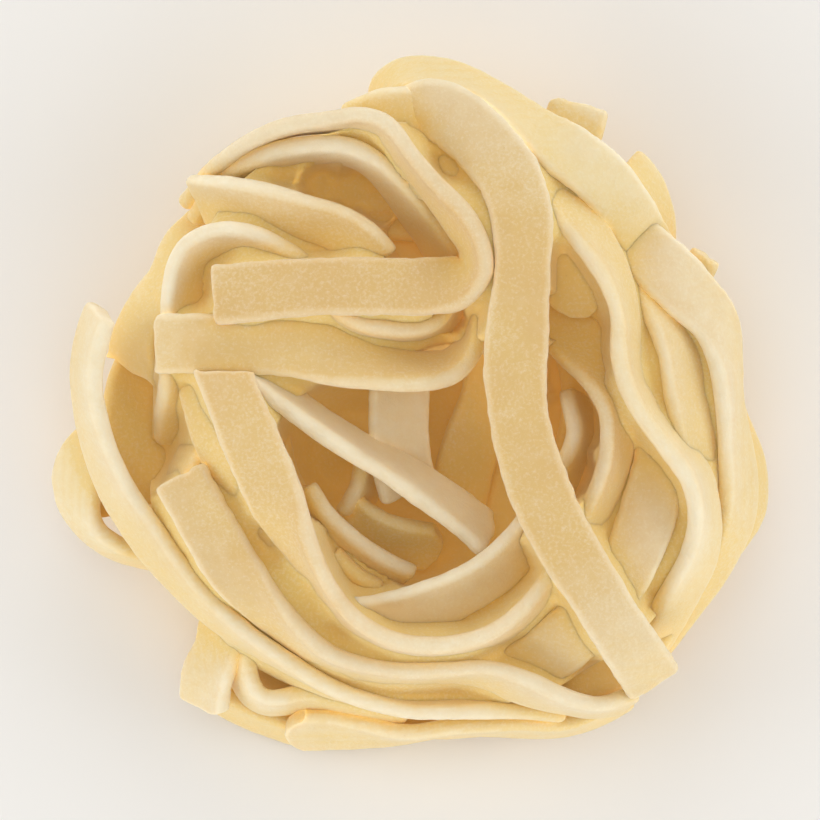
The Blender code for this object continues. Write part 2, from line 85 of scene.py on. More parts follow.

# Laid ribbons: x, y, height and roll; the roll tips the upper face to the left of the run
laidRoutes = {
    "crossing": [
        (-3.8, 33.4, 23.5, -5), (-1, 35.2, 25.5, 0), (1.2, 36.3, 27, 0), (3, 36.8, 28.2, 0),
        (5, 36.3, 29.3, 0), (7.3, 34.6, 30.4, 0), (10, 31.9, 32, 0), (12.4, 28.6, 33.6, 0),
        (13.8, 24, 34.8, 0), (14, 19, 35, 0), (13.5, 12, 35, 0), (13, 5, 35, 0), (13.3, 0, 34.6, 0),
        (14.3, -5, 34.2, 0), (16, -10, 34, 0), (18.2, -15, 33.6, 0), (21.2, -20, 33, 0),
        (24.4, -25, 31.5, 0), (27.6, -30, 28, 0), (30.3, -34.1, 22.5, 0),
    ],
    "underCrossing": [
        (-6.5, 34.6, 23, -5), (-2.8, 36.2, 25, -6), (1.2, 36.2, 27, -8), (4.4, 34.4, 28.4, -12),
        (6.7, 31.4, 29.3, -12), (8.2, 28, 29.6, -12), (9.7, 23.5, 30, -10), (10.8, 17, 28, -5),
    ],
    "foldedBack": [
        (-26.6, 26.4, 16, -80), (-24.2, 29.3, 20, -84), (-22, 31.2, 22.5, -86), (-19.3, 33, 25, -86),
        (-15, 34.8, 27.5, -86), (-10, 35.5, 29, -84), (-6, 35.7, 30, -78), (-3.2, 34.6, 31, -76),
        (-0.1, 30.7, 32, -76), (3.2, 26.8, 32.3, -75), (6.1, 23.3, 32.5, -67), (8.2, 19.5, 32.5, -70),
        (7.9, 17, 32.3, -60), (5.9, 15.6, 32, -35), (2, 15.1, 32, -14), (-5, 15.1, 32, -10),
        (-12, 15, 32, -12), (-18.5, 14.5, 31.5, -14), (-24.4, 14, 30.6, -10),
    ],
    "innerArch": [
        (-26, 24.5, 14, -70), (-24, 27.8, 18, -74), (-21.3, 29.8, 21, -76), (-18, 31.2, 23, -76),
        (-14.5, 32, 24.5, -76), (-11, 32.3, 25.5, -76), (-7.7, 31.9, 26, -76), (-5, 30.6, 26, -76),
        (-2.6, 28.4, 25.7, -72), (0, 25.4, 25, -66), (2.4, 22.4, 24, -62), (4.6, 19, 23, -60),
    ],
    "upperSlat": [
        (-26, 26.3, 19.8, -30), (-23.8, 26.2, 23, -38), (-20.5, 25.8, 25.2, -46), (-16, 24.7, 27, -48),
        (-12.5, 23.7, 27.5, -48), (-9.2, 22.6, 27.8, -45), (-6.6, 20.8, 28, -40), (-4.4, 18, 27.8, -30),
    ],
    "leftShoulder": [
        (-13, 15.8, 25, 60), (-16.5, 18.6, 25.5, 60), (-20.5, 20.3, 26, 60), (-24.2, 20.4, 26, 58),
        (-27, 18.6, 25.8, 55), (-27.9, 15.5, 25.5, 52), (-28.1, 12, 25.2, 50), (-27.9, 6.5, 24.6, 45),
        (-27.6, 1.8, 23.2, 34), (-27.6, -1.2, 20.8, 20), (-27.7, -4, 17.6, 10),
    ],
    "lowerSlat": [
        (9.6, 17.6, 24, -78), (8.3, 12.3, 26, -80), (7.6, 8.4, 27.2, -76), (5, 5.4, 28, -64),
        (0.2, 4.7, 28.6, -58), (-5, 5.6, 29, -42), (-10, 6.7, 29.3, -18), (-15, 7.6, 29.5, -5),
        (-21, 7.9, 29.5, 0), (-27, 7.9, 29, 0), (-31.6, 7.9, 27, 0),
    ],
    "lensArc": [
        (-11, 12.2, 28, -70), (-8, 10.5, 28, -76), (-5, 9.6, 27.8, -78), (-1.5, 9.2, 27.5, -78),
        (1.5, 9.4, 27.2, -78), (4, 10.7, 26.8, -78), (5.4, 13.4, 26, -78),
    ],
    "leftStrap": [
        (-23.3, 4.8, 30, 0), (-21.5, 0, 30.4, 0), (-19.4, -5, 30.4, -4), (-17.1, -10.3, 30, -20),
        (-14.3, -16, 29, -58), (-11, -21.6, 28.2, -76), (-7.3, -26.3, 27.8, -80), (-2, -29.3, 27.5, -82),
        (4, -29.8, 27.5, -84), (9.1, -28.8, 27.5, -81), (13.3, -26.5, 27.3, -77),
        (16.7, -22.9, 27.2, -75), (19.8, -18.4, 27.4, -70), (22.5, -13.8, 27.6, -66),
        (24.6, -9.3, 27.8, -65), (25.6, -5, 27.8, -65), (25.6, -0.5, 27.4, -62), (24.2, 3.6, 26.6, -48),
        (21.8, 7.2, 25.6, -28), (19, 10.5, 24.6, -15), (15.5, 13.5, 23.5, -10),
    ],
    "leftTuck": [
        (-25.6, 3.4, 26.4, -30), (-24.6, -1, 27.6, -32), (-23.4, -5.2, 27.8, -36), (-21.6, -9, 27.2, -44),
        (-19.4, -13, 26, -52), (-17, -17.5, 24, -58),
    ],
    "leftEdgeStrip": [
        (-23.5, 3.5, 23, -70), (-25.6, -0.6, 24, -70), (-27, -4.2, 24, -70), (-28.6, -8.2, 23.4, -70),
        (-29.8, -12, 21.5, -70),
    ],
    "outerLeftStrap": [
        (-28.6, -8.3, 25.6, -12), (-25.3, -14.4, 26, -12), (-21.8, -20.2, 25.6, -20),
        (-16.4, -26.3, 24.8, -58), (-10.9, -30.7, 24.2, -76), (-5, -32.8, 24, -76), (0, -33.1, 24, -80),
        (5, -32.8, 24.2, -80), (9.7, -33, 24.2, -70), (13.9, -34.4, 23.6, -67), (18.8, -36.3, 22, -76),
        (23, -37.1, 20, -80), (27.3, -36.4, 18, -76),
    ],
    "leftLoop": [
        (-38.8, 11.6, 25.5, -66), (-39.8, 8.5, 25.5, -67), (-40.5, 4.5, 25, -68), (-40.3, 1, 24.4, -68),
        (-39.2, -4, 23, -66), (-37, -9.7, 21.5, -62), (-33.7, -15.2, 20, -58), (-30.5, -19.4, 19.6, -62),
        (-26.6, -23.8, 19.4, -68), (-21.5, -28, 19, -76), (-16, -31.6, 18.7, -82),
        (-10.2, -34.7, 18.5, -92), (-5, -36.3, 18.3, -100), (0, -37.1, 18, -106), (5, -36.9, 17.6, -108),
        (9.5, -36.6, 17, -106), (13.6, -36.6, 16, -100), (18, -37.4, 14.5, -90),
    ],
    "leftWall": [
        (-25.2, 23, 15.5, -30), (-28.4, 20.2, 17, -40), (-30.2, 16, 18, -46), (-33.2, 11.8, 18.6, -44),
        (-34.8, 7.6, 18.4, -36), (-34.4, 4.2, 17.8, -30),
    ],
    "shadedLeft": [
        (-31.5, 8, 14, 10), (-34.2, 4, 14.6, 18), (-35.2, 0, 14.6, 22), (-35, -4, 14.2, 22),
        (-33.4, -8, 13.6, 15), (-31.9, -11, 13, 5),
    ],
    "farLeftLoop": [
        (-33, -2.4, 12.5, -40), (-37, -3, 12.5, -40), (-40, -5, 12.5, -36), (-41.6, -7.8, 12.5, -36),
        (-41.8, -10.6, 12.3, -44), (-41.3, -13.4, 12, -62), (-39.7, -15.8, 11.6, -74),
        (-36.8, -17.6, 11, -78), (-33, -18.6, 10, -78), (-29, -19, 9.4, -76),
    ],
    "farLeftFill": [
        (-36.6, -1, 9.6, -20), (-38.4, -5, 9.8, -20), (-39.3, -8.8, 9.6, -24), (-38.9, -13.2, 9.2, -28),
    ],
    "hollowDiagonal": [
        (-20, 5, 27, 60), (-15.3, 1.2, 26, 68), (-10.7, -2.3, 25, 72), (-6.5, -4.9, 24.2, 70),
        (-1.5, -7.8, 23.4, 64), (3, -10.8, 22.6, 58), (6.8, -13.6, 21.8, 54), (9.6, -15.9, 21, 52),
    ],
    "hollowLower": [
        (-13.8, -10.2, 21.6, -66), (-11.8, -13.3, 21.2, -70), (-9.2, -15.9, 20.6, -72),
        (-6, -18.3, 20, -72), (-3, -20.1, 19.4, -72), (-0.6, -21.3, 18.8, -70),
    ],
    "hollowFloor": [
        (-9.5, -12.4, 16.6, -30), (-4.8, -15.4, 17.2, -40), (-0.3, -16.6, 17.2, -42),
        (3.2, -17.2, 16.6, -38),
    ],
    "hollowUpright": [
        (-1.2, 7, 20, 22), (-1.6, 1, 21, 22), (-1.7, -3.5, 21, 22), (-1.2, -8, 20, 20),
        (-0.5, -11, 18.4, 18),
    ],
    "hollowWall": [(11.5, 7, 16, 15), (9.8, 1, 16, 15), (7.6, -5, 15.4, 12), (5.6, -12.5, 13.6, 8)],
    "hollowCurl": [(-5.7, -7, 16.4, 70), (-6.3, -10.4, 16.4, 70), (-8, -13.4, 15.8, 70)],
    "hollowCorner": [(-10.4, -18.6, 19, -70), (-7.7, -21.4, 18.6, -70), (-4.6, -23.2, 18, -70)],
    "rightUnder": [
        (33, 0.5, 22, 15), (32, -3.5, 24, 10), (31.2, -8, 25.2, 8), (30, -12, 25.8, 6),
        (28.4, -17, 26, 6), (25.6, -22, 26, 8), (22.3, -26.3, 25.6, 12), (19.2, -29.4, 25, 15),
        (15.6, -32, 23.6, 18), (12, -33.9, 22, 20),
    ],
    "innerLowerArc": [
        (-8.5, -27.2, 22.6, -34), (-5, -26.6, 23.8, -38), (-1, -25.6, 24.6, -40), (3, -24.3, 25, -40),
        (7, -22.6, 25.2, -42), (10.6, -20.3, 25, -46), (13.8, -17.2, 24.4, -52), (16.8, -12.6, 23.4, -62),
        (19.4, -8.4, 22.2, -70), (21.2, -3.6, 21, -76), (20.6, 1.8, 19.6, -70),
    ],
    "rightCurve": [
        (15.8, 30, 28, 30), (19.6, 25.8, 30, 45), (23, 21, 31, 55), (25.6, 16.2, 31.2, 64),
        (26.8, 11.3, 31.2, 70), (26.9, 7, 31.2, 72), (27.9, 2.9, 31, 74), (30, -0.9, 30.4, 74),
        (33.1, -4.8, 29.4, 72), (35.6, -8.9, 28, 68), (36.4, -13.5, 26.2, 64), (35.8, -18.2, 24, 60),
        (33.7, -23.2, 21, 58), (31.4, -27.6, 17.8, 56), (28.8, -31.6, 14, 54),
    ],
    "rightShoulder": [
        (20.5, 25.6, 25, 8), (24.2, 22.8, 25.4, 10), (27.6, 20.3, 25.8, 12), (30.8, 17.6, 26.2, 16),
        (34.2, 14.4, 25.6, 24), (38, 10.7, 24.4, 38), (39.4, 6, 23.2, 62), (39.9, 1, 22.2, 70),
        (40.4, -4, 21.2, 64), (40.8, -9, 20, 60), (40.5, -13.6, 18.8, 58), (38.5, -18.4, 17.2, 56),
        (35.2, -23.2, 15.2, 54), (31.8, -27.8, 12.6, 50), (28.8, -31.4, 10.4, 48),
    ],
    "rightInnerRidge": [
        (29.8, 16.8, 24.4, 35), (32, 12, 25.4, 45), (33.4, 7.5, 25.8, 50), (34, 2.5, 25.8, 52),
        (35.2, -2.8, 25.2, 52), (36.8, -7.6, 24, 52), (38, -12, 22.4, 52),
    ],
    "topLoop": [
        (-2.2, 36.3, 19, 60), (-3, 39, 20, 60), (-1.3, 41, 21.6, 60), (2, 41.4, 23.4, 60),
        (6, 40.6, 25.2, 60), (9.8, 38.6, 27, 60), (13, 36.3, 28.6, 56), (16.2, 33.8, 29.8, 44),
        (20.1, 30.9, 30, 18), (24, 27.6, 29, 10), (27.2, 23.4, 26.6, 14), (30, 19.6, 23.6, 22),
        (32.2, 15.8, 20.6, 30), (34, 11.6, 18, 36),
    ],
    "hangingTongue": [
        (18.6, 28.5, 27, 0), (20, 22.5, 27.4, 0), (20.8, 16.9, 26.6, 0), (20.8, 11.3, 24.6, 0),
    ],
    "topCutEnd": [
        (16.6, 19.5, 16.5, 0), (17.8, 24.4, 20, 0), (18.9, 28.8, 21.6, 0), (19.9, 33.1, 20.8, 0),
        (21.2, 37.9, 20, 0),
    ],
    "backShoulder": [
        (27, 30.4, 18, 50), (29.1, 28.4, 18, 54), (30.3, 25.8, 17.6, 56), (31, 22.4, 16.6, 58),
        (30.4, 18, 15, 60), (26.4, 13.5, 14, 62),
    ],
    "rightCutEnd": [(32.4, 11.4, 15, 72), (34.8, 15, 15.6, 72), (36.6, 18.6, 16, 72)],
    "rightFlank": [
        (38.6, 2, 12.5, 62), (40.4, -2.4, 12.5, 62), (42.4, -7.2, 12.4, 62), (42.6, -12.2, 12.2, 62),
        (40.6, -16.2, 12, 62), (37.6, -19.9, 11.6, 62), (34.2, -24, 11, 62), (31.6, -27.6, 10.4, 64),
        (29, -31, 9.6, 64),
    ],
    "frontUpper": [
        (-15.6, -40.3, 9, -56), (-10, -40.3, 10, -57), (-5, -40.6, 11, -70), (0, -40.8, 12, -84),
        (5, -40.1, 12.5, -86), (10, -39.9, 12.5, -82), (15, -39.7, 12.5, -79), (20, -39.4, 12, -79),
        (24.2, -37.9, 11, -76), (27.8, -35.6, 10, -70),
    ],
    "frontMiddle": [
        (-20, -37, 4.6, -70), (-13, -39.4, 5, -74), (-5, -39.8, 5.2, -76), (3, -39.2, 5.2, -76),
        (11, -38.9, 5.2, -76), (19, -38.6, 5.2, -74), (26, -35.6, 5.2, -70), (31, -31, 5, -70),
    ],
    "frontCorner": [
        (-21.4, -24.6, 13.6, -34), (-22.4, -29.3, 12.6, -36), (-24.2, -33.4, 11, -38),
        (-24.8, -37, 9, -40),
    ],
    "frontLower": [
        (-25.6, -35.4, 5, -66), (-22.2, -37.4, 4.8, -68), (-18, -39.2, 4.6, -70), (-13, -40.6, 4.4, -70),
        (-7.5, -40.7, 4.4, -72), (-1, -39.8, 4.4, -76), (5, -38.6, 4.4, -76),
    ],
    "frontCurl": [
        (-21.6, -28.8, 13.6, -66), (-21.6, -33, 13.2, -70), (-20.2, -36, 13, -74),
        (-17.6, -37.2, 13.2, -76), (-14.4, -36.6, 13, -76), (-11, -36.7, 13, -74), (-6, -38, 12.8, -72),
        (-1, -39.2, 12, -74),
    ],
    "frontFill": [
        (14, -34.5, 15.5, 0), (18.5, -34, 16.5, 0), (23, -32.6, 17, 0), (27.5, -29.8, 16.5, 0),
        (30.3, -26.3, 15.5, 0),
    ],
}

# What sets single ribbons apart. warm is a yellower dough, and on the top loop and some shaded and
# filling ribbons it also paints the yellow of light through shaded dough. The pale share is a creamier
# dough and mostly painted light, which brightens the outer ribbons and those in the hollow. shade is
# painted shade, browner, and below 0 it takes some of the hollow's painted shade and glow away. rough is
# how rough the cut edges are. first and last are torn or slanting ends: the overhang in mm, from the
# right edge of the run to its left edge
special = {
    "hangingTongue": {
        "warm": 0.35, "shade": -0.06, "last": (-2.2, -1.3, -0.6, 0.0, -0.1, -0.4, -1.9, -3.3),
    },
    "leftLoop": {"first": (1.4, 0.7, -0.4)},
    "leftWall": {"paleAndLit": 0.8, "last": (-3.2, -2.4, -0.4, 0.4, 2.6)},
    "leftStrap": {"first": (1.0, 0.1, -0.6, -1.7)},
    "frontUpper": {"first": (-1.8, -0.3, 0.4, -0.8, -3.0)},
    "hollowFloor": {"warm": 0.5, "last": (-1.2, 0.3, 0.3, -1.2)},
    "farLeftFill": {"shade": 0.6, "last": (-0.8, 0.4, 0.4, -0.8)},
    "frontFill": {"warm": 0.9},
    "shadedLeft": {"warm": 0.9, "shade": 0.45, "last": (-0.3, 0.4, -0.4, 0.3)},
    "crossing": {"shade": 0.18, "last": (0.2, 0.5, 0.1, 0.4)},
    "hollowDiagonal": {"shade": -0.34, "paleAndLit": 0.9, "rough": 0.26, "last": (0.2, 0.6, 0.3, -0.8)},
    "topLoop": {"warm": 0.55},
    "backShoulder": {"warm": 0.8, "paleAndLit": 0.2},
    "topCutEnd": {"warm": 0.3, "paleAndLit": 0.25, "last": (0.0, 0.3, 0.3, -0.2)},
    "rightCurve": {"warm": 0.35},
    "underCrossing": {"warm": 0.4},
    "hollowUpright": {"shade": -0.36, "paleAndLit": 0.8},
    "innerLowerArc": {"shade": -0.26, "paleAndLit": 0.5},
    "hollowLower": {"shade": -0.08, "paleAndLit": 0.1},
    "hollowCurl": {"shade": -0.08, "paleAndLit": 0.2},
    "outerLeftStrap": {"shade": 0.12},
    "frontLower": {"shade": 0.15},
    "farLeftLoop": {"paleAndLit": 0.4},
    "rightUnder": {"paleAndLit": 0.1},
    "innerArch": {"shade": -0.06, "paleAndLit": 0.6},
    "leftShoulder": {"paleAndLit": 0.25, "last": (0.4, 0.6, -0.6, -2.4)},
    "foldedBack": {"shade": 0.2},
    "frontCorner": {"last": (0.6, 0.3, 0.4, -0.8)},
}

# Ribbons wound round the outer wall: the wall's reach every 30 degrees, and rings of arcs
wound = {
    "reach": (41.0, 38.5, 38.5, 37.5, 37.5, 35.0, 34.5, 37.5, 40.5, 40.5, 42.0, 43.0),
    "levels": (4.2, 8.5, 13.0),
    "insets": (3.5, 3.0, 5.0),
    "arcs": 3,
    "span": 150.0,
    "points": 8,
    "turnOn": 47,  # degrees from one ring to the next
    "turnSpread": 12,
    "tilt": 2.6,
    "wander": 0.8,
    "lowest": 3.9,
    "roll": -68,
    "rollSpread": 8,
    "seed": 11,
}

# Ribbons deeper in, which show through the openings: they wind round a ring
inner = {
    "count": 18,
    "points": 8,
    "middle": (1.0, -3.0),
    "radius": 25.0,
    "reach": 7.5,
    "height": 11.0,
    "rise": 6.5,
    "span": (70, 150),
    "drift": 1.6,
    "roll": (30, 85),
    "rollSpread": 6,
    "seed": 5,
}

# Ribbons coiled on the underside
under = {
    "count": 9,
    "points": 12,
    "middle": (1.0, -3.0),
    "radii": (6, 33),
    "spanAtOne": 2600,  # degrees at a radius of 1 mm, and fewer farther out
    "spanMost": 330,
    "wander": 2.2,
    "height": 1.15,
    "lift": 0.5,
    "rollSpread": 5,
    "seed": 3,
}


def eitherWay(draw, reach):
    return draw.uniform(-reach, reach)


def onRing(radius, angle, middle=(0, 0)):
    return middle[0] + radius * math.cos(angle), middle[1] + radius * math.sin(angle)


def wallReach(angle):
    reach = wound["reach"]
    place = (angle % 360) / (360 / len(reach))
    first = int(place)
    share = 0.5 - 0.5 * math.cos(math.pi * (place - first))
    return reach[first % len(reach)] * (1 - share) + reach[(first + 1) % len(reach)] * share


def woundRoutes():
    draw = random.Random(wound["seed"])
    routes = {}
    for ring, (level, inset) in enumerate(zip(wound["levels"], wound["insets"])):
        for arc in range(wound["arcs"]):
            turned = 360 * arc / wound["arcs"] + wound["turnOn"] * ring
            start = turned + eitherWay(draw, wound["turnSpread"])
            tilt = draw.uniform(0.5, 1.0) * wound["tilt"] * draw.choice((-1, 1))
            points = []
            for step in range(wound["points"]):
                share = step / (wound["points"] - 1)
                angle = start + wound["span"] * share
                radius = wallReach(angle) - inset + eitherWay(draw, wound["wander"])
                height = max(wound["lowest"], level + tilt * math.cos(math.pi * share))
                roll = wound["roll"] + eitherWay(draw, wound["rollSpread"])
                points.append((*onRing(radius, math.radians(angle)), height, roll))
            routes[f"wound{ring}{arc}"] = points
    return routes


def innerRoutes():
    draw = random.Random(inner["seed"])
    routes = {}
    for n in range(inner["count"]):
        turn = draw.uniform(0, 360)
        span = draw.uniform(*inner["span"]) * draw.choice((-1, 1))
        place = draw.uniform(0, 2 * math.pi)
        drift = eitherWay(draw, inner["drift"])
        roll = draw.uniform(*inner["roll"]) * (1 if span < 0 else -1)
        points = []
        for step in range(inner["points"]):
            share = step / (inner["points"] - 1)
            wind = place + drift * share
            radius = inner["radius"] + inner["reach"] * math.cos(wind)
            height = inner["height"] + inner["rise"] * math.sin(wind)
            x, y = onRing(radius, math.radians(turn + span * share), inner["middle"])
            points.append((x, y, height, roll + eitherWay(draw, inner["rollSpread"])))
        routes[f"inner{n}"] = points
    return routes


def underRoutes():
    draw = random.Random(under["seed"])
    routes = {}
    low, high = under["radii"]
    for n in range(under["count"]):
        turn = draw.uniform(0, 360)
        radius = low + (high - low) * (n + 0.5) / under["count"]
        span = min(under["spanMost"], under["spanAtOne"] / radius)
        height = under["height"] + under["lift"] * (n % 2)
        points = []
        for step in range(under["points"]):
            angle = math.radians(turn + span * step / (under["points"] - 1))
            x, y = onRing(radius + under["wander"] * math.sin(angle * 2 + n), angle, under["middle"])
            points.append((x, y, height, eitherWay(draw, under["rollSpread"])))
        routes[f"under{n}"] = points
    return routes


# How the ribbons settle on each other
laying = {
    "step": 2.0,  # between the points of a route
    "contact": 1.85,  # between the middles of ribbons that lie on each other
    "lanes": 4,  # places across a ribbon that can touch
    "rounds": 90,
    "searchEvery": 15,
    "searchBeyond": 2.5,
    "sideways": 0.45,  # ribbons part more easily upwards than sideways
    "upwards": 0.4,
    "pace": 1.2,
}


def runAlong(points):
    return np.concatenate([[0], np.cumsum(np.linalg.norm(np.diff(points[:, :3], axis=0), axis=1))])


def pointsAt(points, run, places):
    return np.stack([np.interp(places, run, points[:, k]) for k in range(points.shape[1])], axis=1)


def smoothRoute(knots, parts=12):
    knots = np.array(knots, float)
    chord = np.linalg.norm(np.diff(knots[:, :3], axis=0), axis=1)
    at = np.concatenate([[0], np.cumsum(np.sqrt(chord))])
    slopes = np.gradient(knots, at, axis=0)
    t = np.linspace(0, 1, parts, endpoint=False)[:, None]
    dense = []
    for i in range(len(knots) - 1):
        span = at[i + 1] - at[i]
        dense.append(
            (2 * t**3 - 3 * t**2 + 1) * knots[i]
            + (t**3 - 2 * t**2 + t) * span * slopes[i]
            + (3 * t**2 - 2 * t**3) * knots[i + 1]
            + (t**3 - t**2) * span * slopes[i + 1]
        )
    return np.concatenate([*dense, knots[-1:]])


def spacedRoute(knots):
    points = smoothRoute(knots)
    run = runAlong(points)
    count = max(3, math.ceil(run[-1] / laying["step"]) + 1)
    return pointsAt(points, run, np.linspace(0, run[-1], count))


# Three directions at each point: along the ribbon, to its left edge and out of its upper face
def directions(points):
    along = np.gradient(points[:, :3], axis=0)
    along /= np.linalg.norm(along, axis=1)[:, None]
    left = np.stack([-along[:, 1], along[:, 0], np.zeros(len(along))], axis=1)
    left /= np.linalg.norm(left, axis=1)[:, None]
    upper = np.cross(along, left)
    roll = np.radians(points[:, 3])[:, None]
    return along, np.cos(roll) * left - np.sin(roll) * upper, np.cos(roll) * upper + np.sin(roll) * left


def closePairs(places, owner, within, blockSize=400):
    first, second = [], []
    for start in range(0, len(places), blockSize):
        block = slice(start, start + blockSize)
        apart = np.linalg.norm(places[block, None] - places[None], axis=2)
        rows, columns = np.nonzero((apart < within) & (owner[block, None] < owner[None]))
        first.append(rows + start)
        second.append(columns)
    return np.concatenate(first), np.concatenate(second)


def eased(part):
    first, last = 0.5 * (part[:1] + part[1:2]), 0.5 * (part[-2:-1] + part[-1:])
    return np.concatenate([first, 0.5 * part[1:-1] + 0.25 * (part[:-2] + part[2:]), last])


def settle(routes):
    points = np.concatenate(routes)
    ends = np.cumsum([len(r) for r in routes])[:-1]
    lanes = np.linspace(-0.5, 0.5, laying["lanes"]) * (ribbon["width"] - ribbon["thickness"])
    sideways = np.concatenate([directions(r)[1] for r in routes])
    owner = np.repeat(np.arange(len(routes)), [len(r) for r in routes])
    sample = np.repeat(np.arange(len(points)), len(lanes))
    offsets = (sideways[:, None] * lanes[None, :, None]).reshape(-1, 3)
    home = points[:, :3].copy()
    moved = np.zeros_like(home)
    contact = laying["contact"]
    for turn in range(laying["rounds"]):
        places = (home + moved)[sample] + offsets
        if turn % laying["searchEvery"] == 0:
            a, b = closePairs(places, owner[sample], contact + laying["searchBeyond"])
        between = places[b] - places[a]
        distance = np.linalg.norm(between, axis=1)
        touching = distance < contact
        between = between[touching]
        way = between * (laying["sideways"], laying["sideways"], 1.0)
        way[:, 2] += laying["upwards"] * np.where(between[:, 2] < 0, -1.0, 1.0)
        way /= np.linalg.norm(way, axis=1)[:, None]
        push = way * (0.5 * (contact - distance[touching]))[:, None]
        total, hits = np.zeros_like(home), np.zeros(len(home))
        for side, sign in ((a[touching], -1), (b[touching], 1)):
            np.add.at(total, sample[side], sign * push)
            np.add.at(hits, sample[side], 1)
        moved += laying["pace"] * total / np.maximum(hits, 1)[:, None]
        moved = np.concatenate([eased(part) for part in np.split(moved, ends)])
        moved[:, 2] += np.maximum(ribbon["thickness"] / 2 - (home + moved)[:, 2], 0)
    points[:, :3] = home + moved
    return np.split(points, ends)


# Smooth unevenness: a block of random numbers, read between its cells
noise = {"cells": 32, "seed": 7}
lattice = np.random.default_rng(noise["seed"]).random((noise["cells"],) * 3) * 2 - 1


def uneven(places, scale):
    cell = np.floor(places / scale).astype(int)
    t = places / scale - cell
    t = t * t * (3 - 2 * t)
    total = np.zeros(len(places))
    for corner in itertools.product((0, 1), repeat=3):
        share = np.prod(np.where(corner, t, 1 - t), axis=1)
        i = (cell + corner) % noise["cells"]
        total += share * lattice[i[:, 0], i[:, 1], i[:, 2]]
    return total


# The ribbon's section: place across, place up, and the two parts of the way out of it
def sectionOutline():
    halfWide, halfThick, r = ribbon["width"] / 2, ribbon["thickness"] / 2, ribbon["corner"]
    corner = []
    for a in np.radians(np.linspace(0, 90, ribbon["arcPoints"] + 1)):
        out, up = math.cos(a), math.sin(a)
        corner.append((-(halfWide - r) - r * out, halfThick - r + r * up, -out, up))
    flat = np.linspace(-1, 1, ribbon["flatPoints"] + 1)[1:-1] * (halfWide - r)
    upper = corner + [(u, halfThick, 0, 1) for u in flat]
    upper += [(-u, v, -nu, nv) for u, v, nu, nv in corner[::-1]]
    lower = [(u, -v, nu, -nv) for u, v, nu, nv in upper[::-1]]
    return np.array(upper + lower)


outline = sectionOutline()

# Painted side light: the outer ribbons are painted paler, as if lit more from the sides: by how much,
# from how far out, and over what width
rimLight = {"paleAndLit": 0.65, "start": 26, "width": 15}


def paintedRimLight(verts):
    out = np.hypot(verts[:, 0], verts[:, 1]) - rimLight["start"]
    return rimLight["paleAndLit"] * np.clip(out / rimLight["width"], 0, 1)


def ringQuads(rings, sides):
    ring = np.arange(sides)
    beside = (ring + 1) % sides
    start = (np.arange(rings - 1) * sides)[:, None]
    corners = (start + ring, start + sides + ring, start + sides + beside, start + beside)
    return np.stack(corners, axis=2).reshape(-1, 4)


